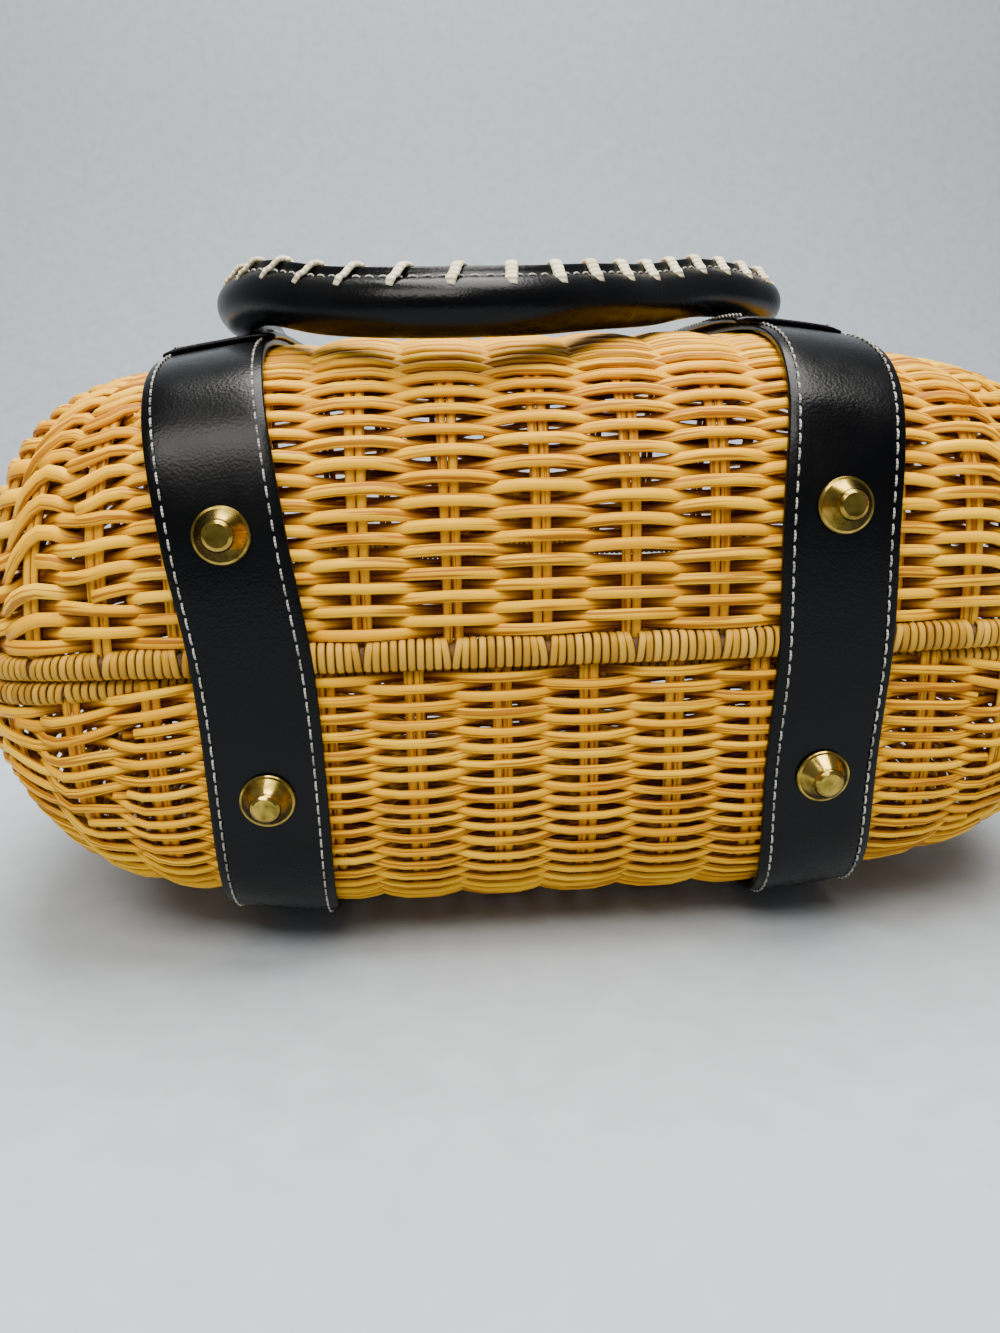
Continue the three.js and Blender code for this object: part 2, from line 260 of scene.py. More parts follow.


# Split cane of the rims: duller tan, darker at the sides of each turn, with 22 fibres in 10 mm
def makeCane():
    material, tree, shader = newMaterial("split_cane")
    places = addNode(tree, "TexCoord", "Object")
    front = addNode(tree, "Attribute", "Fac", {"attribute_name": "front"})
    own = addNode(tree, "Attribute", "Fac", {"attribute_name": "tone"})
    fibres = addNode(tree, "TexNoise", 0, Vector=fibrePlaces(tree, 0.08), Scale=repeats(22, 10),
                     Detail=3.0)
    patches = addNode(tree, "TexNoise", 0, Vector=places, Scale=repeats(7, 100), Detail=4.0)
    offset = addNode(tree, "MapRange", 0, i0=own, i1=0.0, i2=1.0, i3=0.0, i4=0.35)
    tone = addNode(tree, "Math", 0, scaledSum, i0=patches, i1=0.6, i2=offset)
    tan = addNode(tree, "ValToRGB", "Color", Fac=tone, stops=[
        (0.2, "#a3700e"), (0.45, "#c08d1b"), (0.65, "#d3a031"), (0.9, "#e3b856")])
    # Darker towards both sides of each turn
    sides = addNode(tree, "MapRange", 0, i0=front, i1=0.0, i2=0.8, i3=0.85, i4=0.0)
    edgeDarkened = addNode(tree, "Mix", 2, multiplied, i0=sides, i6=tan, i7=linearColour("#4c2c10"))
    rough = addNode(tree, "MapRange", 0, i0=fibres, i1=0.3, i2=0.7, i3=0.36, i4=0.55)
    grain = addNode(tree, "Bump", "Normal", Height=fibres, Distance=0.15 * mm, Strength=1.0)
    tree.links.new(edgeDarkened, shader.inputs["Base Color"])
    tree.links.new(rough, shader.inputs["Roughness"])
    tree.links.new(grain, shader.inputs["Normal"])
    shader.inputs["Specular IOR Level"].default_value = 0.25
    return material


# Hoop core between the turns of cane: dark brown, mottled in grains of 1 to 2 mm
def makeHoopCore():
    material, tree, shader = newMaterial("dark_hoop_core")
    places = addNode(tree, "TexCoord", "Object")
    mottling = addNode(tree, "TexNoise", 0, Vector=places, Scale=repeats(6, 10), Detail=3.0)
    colour = addNode(tree, "ValToRGB", "Color", Fac=mottling, stops=[(0.3, "#2b1a0c"), (0.7, "#6b4820")])
    tree.links.new(colour, shader.inputs["Base Color"])
    shader.inputs["Roughness"].default_value = 0.85
    return material


# Polished black leather: fine pores, long soft creases, scuffs, and a faint blue-grey sheen painted into
# its near-black colour. Its pores are 15 in 10 mm, coarser than real ones so that they show
def makeLeather():
    material, tree, shader = newMaterial("polished_black_leather")
    places = addNode(tree, "TexCoord", "Object")
    pores = addNode(tree, "TexVoronoi", 0, {"feature": "SMOOTH_F1"}, Vector=places,
                    Scale=repeats(15, 10))
    folded = addNode(tree, "Mapping", 0, Vector=places, Scale=(0.35, 1.0, 1.0))
    creases = addNode(tree, "TexNoise", 0, {"noise_type": "RIDGED_MULTIFRACTAL", "normalize": True},
                      Vector=folded, Scale=repeats(6, 100), Detail=5.0)
    scuffs = addNode(tree, "TexNoise", 0, Vector=places, Scale=repeats(35, 1000), Detail=6.0,
                     Roughness=0.65)
    # Near-black with a faint painted blue-grey sheen, lighter where scuffed
    colour = addNode(tree, "ValToRGB", "Color", Fac=scuffs, stops=[
        (0.35, "#020203"), (0.6, "#040405"), (0.8, "#090a0c")])
    rough = addNode(tree, "MapRange", 0, i0=scuffs, i1=0.3, i2=0.75, i3=0.2, i4=0.38)
    pitted = addNode(tree, "MapRange", 0, i0=pores, i1=0.0, i2=1.0, i3=0.0, i4=0.12)
    height = addNode(tree, "Math", 0, scaledSum, i0=creases, i1=0.6, i2=pitted)
    relief = addNode(tree, "Bump", "Normal", Height=height, Distance=0.6 * mm, Strength=0.6)
    tree.links.new(colour, shader.inputs["Base Color"])
    tree.links.new(rough, shader.inputs["Roughness"])
    tree.links.new(relief, shader.inputs["Normal"])
    shader.inputs["Specular IOR Level"].default_value = 0.15
    return material


# Turned brass of the feet: warm yellow, with olive tarnish and small dents about 4 mm apart
def makeBrass():
    material, tree, shader = newMaterial("turned_brass")
    places = addNode(tree, "TexCoord", "Object")
    tarnish = addNode(tree, "TexNoise", 0, Vector=places, Scale=repeats(26, 100), Detail=5.0)
    colour = addNode(tree, "ValToRGB", "Color", Fac=tarnish, stops=[
        (0.35, "#6a5a22"), (0.55, "#a88c3e"), (0.8, "#c6aa5c")])
    rough = addNode(tree, "MapRange", 0, i0=tarnish, i1=0.3, i2=0.7, i3=0.3, i4=0.14)
    dents = addNode(tree, "Bump", "Normal", Height=tarnish, Distance=0.12 * mm, Strength=0.6)
    tree.links.new(colour, shader.inputs["Base Color"])
    tree.links.new(rough, shader.inputs["Roughness"])
    tree.links.new(dents, shader.inputs["Normal"])
    shader.inputs["Metallic"].default_value = 1.0
    return material


# Thread and lacing: strands twisted once in the given millimetres, off-white or cream, dirty in
# places
def makeThread(name, light, dark, twist):
    material, tree, shader = newMaterial(name)
    places = addNode(tree, "TexCoord", "Object")
    along = addNode(tree, "Attribute", "Fac", {"attribute_name": "along"})
    around = addNode(tree, "Attribute", "Fac", {"attribute_name": "around"})
    turned = addNode(tree, "Math", 0, scaledSum, i0=along, i1=2 * math.pi / (twist * mm), i2=around)
    strands = addNode(tree, "Math", 0, {"operation": "SINE"}, i0=turned)
    mottling = addNode(tree, "TexNoise", 0, Vector=places, Scale=repeats(18, 100), Detail=3.0)
    colour = addNode(tree, "ValToRGB", "Color", Fac=mottling, stops=[(0.35, dark), (0.6, light)])
    relief = addNode(tree, "Bump", "Normal", Height=strands, Distance=0.1 * mm, Strength=1.0)
    tree.links.new(colour, shader.inputs["Base Color"])
    tree.links.new(relief, shader.inputs["Normal"])
    shader.inputs["Roughness"].default_value = 0.8
    return material


# Pale grey studio paper, a little mottled
def makePaper():
    material, tree, shader = newMaterial("pale_paper")
    places = addNode(tree, "TexCoord", "Object")
    mottle = addNode(tree, "TexNoise", 0, Vector=places, Scale=repeats(9, 100), Detail=6.0)
    colour = addNode(tree, "ValToRGB", "Color", Fac=mottle, stops=[(0.3, "#a6aeb5"), (0.7, "#afb7be")])
    relief = addNode(tree, "Bump", "Normal", Height=mottle, Distance=0.4 * mm, Strength=0.4)
    tree.links.new(colour, shader.inputs["Base Color"])
    tree.links.new(relief, shader.inputs["Normal"])
    shader.inputs["Roughness"].default_value = 0.9
    return material


reed = makeReed()
cane = makeCane()
hoopCore = makeHoopCore()
leather = makeLeather()
brass = makeBrass()
thread = makeThread("white_thread", "#b3b0a6", "#77736a", 0.7)
lacing = makeThread("cream_lacing", "#efe3c0", "#d2c195", 1.4)
print("materials made")


# Joined meshes of many small strands

def newHeap():
    return {"points": [], "faces": [], "along": [], "around": [], "tone": [], "front": [], "count": 0}


# Adds a strand round a path: section gives its outline as pairs of shares outward and sideways
def addStrand(heap, path, outward, section, tone, front, closed=False, offset=0.0):
    before = np.roll(path, 1, 0) if closed else np.concatenate([path[:1], path[:-1]])
    after = np.roll(path, -1, 0) if closed else np.concatenate([path[1:], path[-1:]])
    along = unit(after - before)
    raised = unit(outward - (outward * along).sum(-1, keepdims=True) * along)
    sideways = np.cross(along, raised)
    section = np.asarray(section, float)
    if section.ndim == 2:
        section = np.broadcast_to(section, (len(path),) + section.shape)
    rings = path[:, None] + section[..., :1] * raised[:, None] + section[..., 1:] * sideways[:, None]
    rows, sides = section.shape[:2]
    first = heap["count"]
    number = np.arange(rows * sides).reshape(rows, sides) + first
    nextRow = np.roll(number, -1, 0) if closed else number[1:]
    thisRow = number if closed else number[:-1]
    faces = np.stack([thisRow, nextRow, np.roll(nextRow, -1, 1), np.roll(thisRow, -1, 1)], -1)
    heap["faces"] += faces.reshape(-1, 4).tolist()
    if not closed:
        heap["faces"] += [number[0].tolist(), number[-1][::-1].tolist()]
    step = np.linalg.norm(np.diff(path, axis=0), axis=1)
    length = (np.concatenate([[0], np.cumsum(step)]) + offset) * mm
    heap["points"].append(rings.reshape(-1, 3))
    heap["along"].append(np.repeat(length, sides))
    heap["around"].append(np.tile(np.arange(sides) / sides, rows) * 0.006)
    heap["tone"].append(np.full(rows * sides, tone))
    heap["front"].append(np.asarray(front, float).ravel() if np.size(front) == rows * sides
                         else np.repeat(np.broadcast_to(front, rows), sides))
    heap["count"] += rows * sides


def ovalSection(thick, wide, sides):
    turn = 2 * np.pi * np.arange(sides) / sides + np.pi
    return np.stack([np.cos(turn) * thick, np.sin(turn) * wide], -1)


# The seam droops a little, most at the bag's two ends
droop = {"middle": 2.8, "left": 3.6, "right": 2.0, "start": 88.0, "fade": 44.0}


def drooped(points):
    x, z = points[:, 0], points[:, 2]
    endward = smooth(np.abs(x), droop["start"], halfWidth)
    depth = droop["middle"] + np.where(x < 0, droop["left"], droop["right"]) * endward
    points[:, 2] -= depth * np.clip(1 - (z / droop["fade"]) ** 2, 0, 1)
    return points


def heapMesh(name, heap):
    mesh = bpy.data.meshes.new(name)
    points = drooped(np.concatenate(heap["points"])) * mm + bagMiddle
    mesh.from_pydata(points.tolist(), [], heap["faces"])
    for layer in ("along", "around", "tone", "front"):
        values = np.concatenate(heap[layer]).astype(np.float32)
        mesh.attributes.new(layer, "FLOAT", "POINT").data.foreach_set("value", values)
    return mesh


def addPiece(name, mesh, material, replaced=()):
    mesh.materials.append(material)
    mesh.polygons.foreach_set("use_smooth", [True] * len(mesh.polygons))
    mesh.update()
    piece = bpy.data.objects.new(name, mesh)
    bpy.context.scene.collection.objects.link(piece)
    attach(piece, "root")
    if replaced:
        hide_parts(*replaced)
    return piece


# Woven bowls: rows of round reed pass in front of and behind pairs of stakes by turns
weave = {
    "inset": 2.7, "amplitude": 1.55, "stepsBetweenStakes": 5, "rowSides": 6,
    "endStakes": 15, "innerShare": 0.45, "stakeThick": 0.68, "stakeWide": 1.12, "pairHalf": 1.18,
    "wobble": 0.16, "columnShift": 0.4, "leastWide": 0.94, "mostWide": 1.05, "leastSpread": 0.9,
    "mostSpread": 1.35, "longest": 900.0, "stakeStart": 1.5, "stakeSteps": 34, "stakeFront": -0.2,
    "stakeShare": 0.985, "droppedShare": 0.62, "shortFade": 6, "shortStep": 5,
}
weaves = {
    "upper": {"sideStakes": [-87.6, -67.2, -46.8, -26.4, -6.0, 14.4, 34.8, 55.2, 75.6],
              "pitch": 2.45, "thick": 0.92, "wide": 1.44, "firstRow": 6.1, "risen": 0.0, "seed": 3},
    "lower": {"sideStakes": [-76.2, -56.0, -35.8, -15.6, 4.6, 24.8, 45.0, 65.2],
              "pitch": 2.2, "thick": 0.9, "wide": 1.31, "firstRow": 6.1, "risen": 3.9, "seed": 8},
}
# Pairs of short rows that fill the middle of each bowl: first row of the pair, reach each side
shortRows = [
    {"row": 1, "reach": 122}, {"row": 4, "reach": 101}, {"row": 8, "reach": 119},
    {"row": 12, "reach": 103}, {"row": 17, "reach": 116}, {"row": 21, "reach": 99},
    {"row": 26, "reach": 111}, {"row": 33, "reach": 104}, {"row": 42, "reach": 108},
]


# Between the straps the upper rim is proud and hides the lower one; at the ends both show
overlap = {"full": 78.0, "gone": 125.0}


def overlapAt(x):
    return 1 - smooth(np.abs(x), overlap["full"], overlap["gone"])


# Places of the stakes on the outline, from the last one of the base at the right and round
def stakePlaces(sideStakes):
    first, last = sideStakes[0], sideStakes[-1]
    along = np.array(sideStakes)
    half = fullTurn / 2
    rightEnd = np.linspace(last, half - last, weave["endStakes"] + 1)[:-1]
    mouth = half - along[::-1]
    leftEnd = np.linspace(half - first, fullTurn + first, weave["endStakes"] + 1)[1:-1]
    base = fullTurn + along[:-1]
    return np.concatenate([rightEnd, mouth, leftEnd, base])


def lengthAtStake(places, number):
    count = len(places)
    wrapped = np.concatenate([places[-2:] - fullTurn, places, places[:2] + fullTurn])
    return np.interp(number, np.arange(-2, count + 2), wrapped)


# Rows swing by half a turn a stake; near the ends' middle only every third stake is left
def weavePhase(number, sideCount, inner):
    ends = weave["endStakes"]
    halfRound = ends + sideCount - 1
    base = np.floor(number / halfRound) * halfRound
    within = number - base
    slow = np.where(within < ends, within / 3, within - ends + ends / 3)
    slowBase = base / halfRound * (halfRound - ends * 2 / 3)
    return np.pi * np.where(inner, slow + slowBase, number)


# Middle of the weave at each column and row, with the way outward
def weaveGrid(bowl, lengths, distances):
    middle = meridians(bowl, lengths, weave["inset"])
    skin = meridians(bowl, lengths, 0)
    places, outward = np.zeros(distances.shape + (3,)), np.zeros(distances.shape + (3,))
    shares = np.zeros(distances.shape)
    for column in range(len(lengths)):
        step = np.linalg.norm(np.diff(middle[column], axis=0), axis=1)
        run = np.concatenate([[0], np.cumsum(step)])
        for axis in range(3):
            places[column, :, axis] = np.interp(distances[column], run, middle[column, :, axis])
            away = skin[column, :, axis] - middle[column, :, axis]
            outward[column, :, axis] = np.interp(distances[column], run, away)
        flat = places[column, :, :2] - middle[column, -1, :2]
        reach = np.linalg.norm(middle[column, 0, :2] - middle[column, -1, :2])
        shares[column] = np.linalg.norm(flat, axis=-1) / reach
    return places, unit(outward), shares


def meridianLengths(bowl, lengths):
    lines = meridians(bowl, lengths, weave["inset"])
    return np.linalg.norm(np.diff(lines, axis=1), axis=-1).sum(1)


def rowWidths(rowCount, edgeX):
    widths = np.ones((len(edgeX), rowCount))
    for short in shortRows:
        for offset in (0, 1):
            row = short["row"] + offset
            reach = short["reach"] + weave["shortStep"] * offset
            if row < rowCount:
                fade = weave["shortFade"]
                widths[:, row] = 1 - smooth(np.abs(edgeX), reach - fade, reach + fade)
    return widths


def shortReach(row):
    for short in shortRows:
        if row in (short["row"], short["row"] + 1):
            return short["reach"] + weave["shortStep"] * (row - short["row"])
    return None


def weaveRows(name):
    bowl, made = bowls[name], weaves[name]
    dice = np.random.default_rng(made["seed"])
    places = stakePlaces(made["sideStakes"])
    count, sideCount = len(places), len(made["sideStakes"])
    steps = weave["stepsBetweenStakes"]
    number = np.arange(count * steps + 1) / steps - weave["columnShift"]
    lengths = lengthAtStake(places, number)
    edgeX = outlineAt(lengths, weave["inset"])[:, 0]
    total = meridianLengths(bowl, lengths)
    first = made["firstRow"] - made["risen"] * overlapAt(edgeX)
    middleSpan = (total - first)[np.argmin(np.abs(edgeX))]
    rowCount = int(round(middleSpan / made["pitch"]))
    widths = rowWidths(rowCount, edgeX)
    slots = (np.cumsum(widths, 1) - widths / 2) / widths.sum(1, keepdims=True)
    spread = np.clip((total - first) / widths.sum(1) / made["pitch"],
                     weave["leastSpread"], weave["mostSpread"])
    wobble = dice.normal(0, weave["wobble"], (count + 3, rowCount))
    wobbled = np.stack([np.interp(number, np.arange(-1, count + 2), wobble[:, row])
                        for row in range(rowCount)], 1)
    wobbled[-1] = wobbled[0]
    distances = first[:, None] + (total - first)[:, None] * slots + wobbled
    grid, outward, shares = weaveGrid(bowl, lengths, distances)
    heap = newHeap()
    for row in range(rowCount):
        phase = weavePhase(number, sideCount, shares[:, row] < weave["innerShare"]) + np.pi * row
        swing = np.cos(phase)
        swing *= 1.5 - 0.5 * swing ** 2
        path = grid[:, row] + outward[:, row] * (swing * weave["amplitude"])[:, None]
        wide = made["wide"] * dice.uniform(weave["leastWide"], weave["mostWide"])
        section = ovalSection(made["thick"], wide, weave["rowSides"])
        section = section * np.stack([np.ones_like(spread), spread], 1)[:, None]
        reach = shortReach(row)
        runs = [np.arange(len(number))]
        if reach is not None:
            inside = np.flatnonzero(np.abs(edgeX) < reach)
            runs = np.split(inside, np.flatnonzero(np.diff(inside) > 1) + 1)
        for run in runs:
            if len(run) > 2:
                # The swing also sets the row's painted shade: darker where it passes behind the stakes
                addStrand(heap, path[run], outward[run, row], section[run], dice.uniform(0, 1),
                          swing[run], offset=dice.uniform(0, weave["longest"]))
    addPiece("rows_" + name, heapMesh("rows_" + name, heap), reed, ["basket_" + name])


def weaveStakes(name):
    bowl, made = bowls[name], weaves[name]
    dice = np.random.default_rng(made["seed"] + 50)
    places = stakePlaces(made["sideStakes"])
    halfRound = weave["endStakes"] + len(made["sideStakes"]) - 1
    section = ovalSection(weave["stakeThick"], weave["stakeWide"], 8)
    heap = newHeap()
    for index, length in enumerate(places):
        within = index % halfRound
        dropped = within < weave["endStakes"] and within % 3 != 0
        for side in (-1, 1):
            spot = np.array([length + side * weave["pairHalf"]])
            run = meridianLengths(bowl, spot)[0]
            last = run * (weave["droppedShare"] if dropped else weave["stakeShare"])
            distances = np.linspace(weave["stakeStart"], last, weave["stakeSteps"])[None, :]
            grid, outward, _ = weaveGrid(bowl, spot, distances)
            # A front of -0.2 gives the stakes a light share of the reeds' painted shade
            addStrand(heap, grid[0], outward[0], section, dice.uniform(0, 1), weave["stakeFront"],
                      offset=dice.uniform(0, weave["longest"]))
    addPiece("stakes_" + name, heapMesh("stakes_" + name, heap), reed)


for name in bowls:
    weaveRows(name)
    weaveStakes(name)
print("bowls woven")

# Rims: a hoop wound with turns of split cane that part beside each pair of stakes
rimShape = {"height": 5.5, "depth": 6.0, "turnWidth": 2.0, "caneThickness": 0.5, "cornerPower": 2.7,
            "steps": 16, "part": 1.1, "partReach": 2.6, "shoulder": 0.6, "crown": 1.15, "swell": 0.14,
            "sway": 0.12, "longest": 400.0, "hoopGap": 1.0, "hoopSteps": 220, "hoopSides": 10, "seed": 21}
# Between the straps: how far each rim stands out, how much taller it is and where its middle is
overlaps = {
    "upper": {"proud": 0.9, "taller": 1.5, "middle": 2.35},
    "lower": {"proud": -3.6, "taller": -1.5, "middle": 3.3},
}


def rimLoop(turn, height, depth):
    power = rimShape["cornerPower"]
    size = (np.abs(np.cos(turn)) ** power + np.abs(np.sin(turn)) ** power) ** (-1 / power)
    return np.cos(turn) * size * depth / 2, np.sin(turn) * size * height / 2


def outlineFrame(length):
    inset = rimShape["depth"] / 2
    ahead, behind = outlineAt(length + 0.5, inset), outlineAt(length - 0.5, inset)
    along = unit(ahead - behind)
    along = np.concatenate([along, np.zeros_like(along[..., :1])], -1)
    outward = np.stack([along[..., 1], -along[..., 0], np.zeros_like(along[..., 0])], -1)
    return outlineAt(length, inset), along, outward


def rimSize(name, x):
    over, share = overlaps[name], float(overlapAt(x))
    plainMiddle = rimGap + rimShape["height"] / 2
    return {
        "proud": over["proud"] * share,
        "height": rimShape["height"] + over["taller"] * share,
        "middle": plainMiddle + (over["middle"] - plainMiddle) * share,
    }


def windRim(name):
    bowl = bowls[name]
    dice = np.random.default_rng(rimShape["seed"] + bowl["up"])
    places = stakePlaces(weaves[name]["sideStakes"])
    turns = int(fullTurn / rimShape["turnWidth"])
    thickness = rimShape["caneThickness"]
    heap = newHeap()
    turn = 2 * np.pi * np.arange(rimShape["steps"]) / rimShape["steps"] + np.pi
    half = rimShape["turnWidth"] / 2
    shoulder, crown = half * rimShape["shoulder"], thickness * rimShape["crown"]
    flat = [(0.0, -half), (thickness, -shoulder), (crown, 0.0), (thickness, shoulder), (0.0, half)]
    front = np.tile([0.0, 0.8, 1.0, 0.8, 0.0], len(turn))
    for index in range(turns):
        length = fullTurn * index / turns
        spots, alongs, outwards = outlineFrame(np.array([length]))
        spot, along, outward = spots[0], alongs[0], outwards[0]
        size = rimSize(name, spot[0])
        away = (places - length + fullTurn / 2) % fullTurn - fullTurn / 2
        nearest = -away[np.argmin(np.abs(away))]
        lean = np.sign(nearest) * rimShape["part"] * math.exp(-(nearest / rimShape["partReach"]) ** 2)
        swell = dice.uniform(-rimShape["swell"], rimShape["swell"])
        out, up = rimLoop(turn, size["height"] - 2 * thickness + swell,
                          rimShape["depth"] - 2 * thickness + swell)
        bowlward = (up / size["height"] + 0.5) ** 2
        aslant = lean * bowlward + dice.normal(0, rimShape["sway"]) * up / size["height"]
        reach = out + size["proud"]
        path = np.stack([np.full_like(out, spot[0]), np.full_like(out, spot[1]),
                         bowl["up"] * (size["middle"] + up)], -1)
        path += outward * reach[:, None] + along * aslant[:, None]
        raised = outward * out[:, None] + np.array([0, 0, bowl["up"]]) * up[:, None]
        addStrand(heap, path, raised, flat, dice.uniform(0, 1), front, closed=True,
                  offset=dice.uniform(0, rimShape["longest"]))
    mesh = heapMesh("winding_" + name, heap)
    addPiece("winding_" + name, mesh, cane, ["rim_" + name])


# The hoop that the cane is wound on
def bendHoop(name):
    bowl = bowls[name]
    core = newHeap()
    lengths = np.linspace(0, fullTurn, rimShape["hoopSteps"], endpoint=False)
    spots, _, outward = outlineFrame(lengths)
    sizes = [rimSize(name, x) for x in spots[:, 0]]
    middles = np.array([size["middle"] for size in sizes])
    prouds = np.array([size["proud"] for size in sizes])
    path = np.concatenate([spots, bowl["up"] * middles[:, None]], 1) + outward * prouds[:, None]
    least = min(size["height"] for size in sizes)
    turn = 2 * np.pi * np.arange(rimShape["hoopSides"]) / rimShape["hoopSides"]
    out, up = rimLoop(turn, least - rimShape["hoopGap"], rimShape["depth"] - rimShape["hoopGap"])
    addStrand(core, path, outward, np.stack([out, up], -1), 0.5, 0.0, closed=True)
    addPiece("hoop_" + name, heapMesh("hoop_" + name, core), hoopCore)


for name in bowls:
    windRim(name)
    bendHoop(name)
print("rims wound")

# Leather strips bent onto the skin, with rounded edges
strap = {"width": 27.0, "thickness": 1.8, "sag": 0.5, "edge": 0.5, "steps": 220, "end": 62.0,
         "seat": 0.5}
tab = {"width": 28.0, "thickness": 1.3, "sag": 0.9, "edge": 0.45, "steps": 40, "near": -47.0,
       "far": 42.0, "shift": {"left": 0.5, "right": -4.0}}
closing = {"width": 30.0, "thickness": 2.0, "sag": 0.4, "edge": 0.5, "steps": 40, "reach": 26.0,
           "middle": -6.0}
# Stitches: rise gives the height of the thread over the leather along one stitch
stitch = {"inset": 2.3, "pitch": 3.3, "length": 2.3, "radius": 0.25, "sides": 6,
          "rise": [-0.28, 0.12, 0.2, 0.2, 0.12, -0.28]}
pieceGap = 0.3
strapRoute = [
    {"degrees": -60, "left": -71, "right": 64},
    {"degrees": -25, "left": -70, "right": 59.5},
    {"degrees": 0, "left": -71.5, "right": 61.5},
    {"degrees": 22, "left": -75.5, "right": 61.5},
    {"degrees": 60, "left": -81.5, "right": 67},
]


# Smooth line through the places of the strap's middle
def strapMiddle(side, degrees):
    turns = np.array([row["degrees"] for row in strapRoute], float)
    places = np.array([row[side] for row in strapRoute], float)
    slopes = np.gradient(places, turns)
    slopes[[0, -1]] = 0
    index = np.clip(np.searchsorted(turns, degrees) - 1, 0, len(turns) - 2)
    span = turns[index + 1] - turns[index]
    share = np.clip((degrees - turns[index]) / span, 0, 1)
    ahead = share * share * (3 - 2 * share)
    leaving = slopes[index] * span * share * (1 - share) ** 2
    arriving = slopes[index + 1] * span * share ** 2 * (share - 1)
    return places[index] + (places[index + 1] - places[index]) * ahead + leaving + arriving


def stripMesh(name, width, thickness, steps, edge, place):
    length = float(steps)
    body = bmesh.new()
    bmesh.ops.create_grid(body, x_segments=12, y_segments=steps, size=0.5)
    bmesh.ops.scale(body, vec=(width, length, 1), verts=body.verts)
    top = bmesh.ops.extrude_face_region(body, geom=body.faces[:])
    raised = [item for item in top["geom"] if isinstance(item, bmesh.types.BMVert)]
    bmesh.ops.translate(body, vec=(0, 0, thickness), verts=raised)
    bmesh.ops.recalc_face_normals(body, faces=body.faces)
    sharp = [item for item in body.edges if item.is_manifold and item.calc_face_angle() > 1]
    bmesh.ops.bevel(body, geom=sharp, offset=edge, segments=3, profile=0.5, affect="EDGES", material=-1)
    mesh = bpy.data.meshes.new(name)
    body.to_mesh(mesh)
    body.free()
    flat = np.zeros(len(mesh.vertices) * 3)
    mesh.vertices.foreach_get("co", flat)
    flat = flat.reshape(-1, 3)
    bentPoints = place(flat[:, 0], flat[:, 1] / length + 0.5, flat[:, 2]) * mm + bagMiddle
    mesh.vertices.foreach_set("co", bentPoints.ravel())
    return mesh


def skinStrip(name, shape, fromDegrees, toDegrees, facing, lift, centre):
    def place(across, along, through):
        degrees = fromDegrees + (toDegrees - fromDegrees) * along
        hang = shape["sag"] * np.abs(2 * across / shape["width"]) ** 6
        return raisedPoint(centre(degrees) + across, degrees, facing, lift + through - hang)
    return stripMesh(name, shape["width"], shape["thickness"], shape["steps"], shape["edge"], place)


stitchSection = ovalSection(stitch["radius"], stitch["radius"], stitch["sides"])


# Row of stitches along a strip at one distance from its middle line
def addStitches(heap, fromDegrees, toDegrees, facing, lift, centre, across):
    degrees = np.linspace(fromDegrees, toDegrees, 900)
    line = raisedPoint(centre(degrees) + across, degrees, facing, np.full_like(degrees, lift))
    normal = skinNormal(centre(degrees) + across, degrees, facing)
    step = np.linalg.norm(np.diff(line, axis=0), axis=1)
    run = np.concatenate([[0], np.cumsum(step)])
    rise = np.array(stitch["rise"])
    for start in np.arange(1.5, run[-1] - stitch["length"] - 1, stitch["pitch"]):
        along = start + stitch["length"] * np.linspace(0, 1, len(rise))
        path = np.stack([np.interp(along, run, line[:, axis]) for axis in range(3)], -1)
        outward = np.stack([np.interp(along, run, normal[:, axis]) for axis in range(3)], -1)
        addStrand(heap, path + outward * rise[:, None], outward, stitchSection, 0.5, 1.0)


def sewStrap(side):
    fromDegrees = angleAtY(bowls["upper"], strap["end"])
    toDegrees = -angleAtY(bowls["lower"], strap["end"])

    def centre(degrees):
        return strapMiddle(side, degrees)

    mesh = skinStrip("leather_strap_" + side, strap, fromDegrees, toDegrees, -1, strap["seat"], centre)
    addPiece("leather_strap_" + side, mesh, leather, ["strap_" + side])
    heap = newHeap()
    for across in (-1, 1):
        addStitches(heap, fromDegrees, toDegrees, -1, strap["seat"] + strap["thickness"], centre,
                    across * (strap["width"] / 2 - stitch["inset"]))
    addPiece("strap_stitches_" + side, heapMesh("strap_stitches_" + side, heap), thread)


def sewTab(side, name):
    bowl = bowls[name]
    ends = [angleAtY(bowl, tab["far"]), angleAtY(bowl, tab["near"])]
    fromDegrees, toDegrees = ends if bowl["up"] > 0 else [-ends[1], -ends[0]]
    shift = tab["shift"][side] if bowl["up"] > 0 else 0

    def centre(degrees):
        return strapMiddle(side, degrees) + shift

    lift = strap["seat"] + strap["thickness"] + pieceGap
    title = "leather_tab_" + name + "_" + side
    mesh = skinStrip(title, tab, fromDegrees, toDegrees, -1, lift, centre)
    addPiece(title, mesh, leather, ["handle_tab_" + name + "_" + side])
    heap = newHeap()
    for across in (-1, 1):
        addStitches(heap, fromDegrees, toDegrees, -1, lift + tab["thickness"], centre,
                    across * (tab["width"] / 2 - stitch["inset"]))
    addPiece("tab_stitches_" + name + "_" + side, heapMesh(title + "_stitches", heap), thread)


def sewClosing():
    reach = [math.degrees(math.asin(closing["reach"] / bowls[name]["depth"])) for name in bowls]

    def centre(degrees):
        return np.full_like(degrees, closing["middle"])

    mesh = skinStrip("leather_closing", closing, -reach[1], reach[0], 1, strap["seat"], centre)
    addPiece("leather_closing", mesh, leather, ["closing_strap"])
    heap = newHeap()
    for across in (-1, 1):
        addStitches(heap, -reach[1], reach[0], 1, strap["seat"] + closing["thickness"], centre,
                    across * (closing["width"] / 2 - stitch["inset"]))
    addPiece("closing_stitches", heapMesh("closing_stitches", heap), thread)


for side in ("left", "right"):
    sewStrap(side)
    for name in bowls:
        sewTab(side, name)
sewClosing()
print("leather strips sewn")

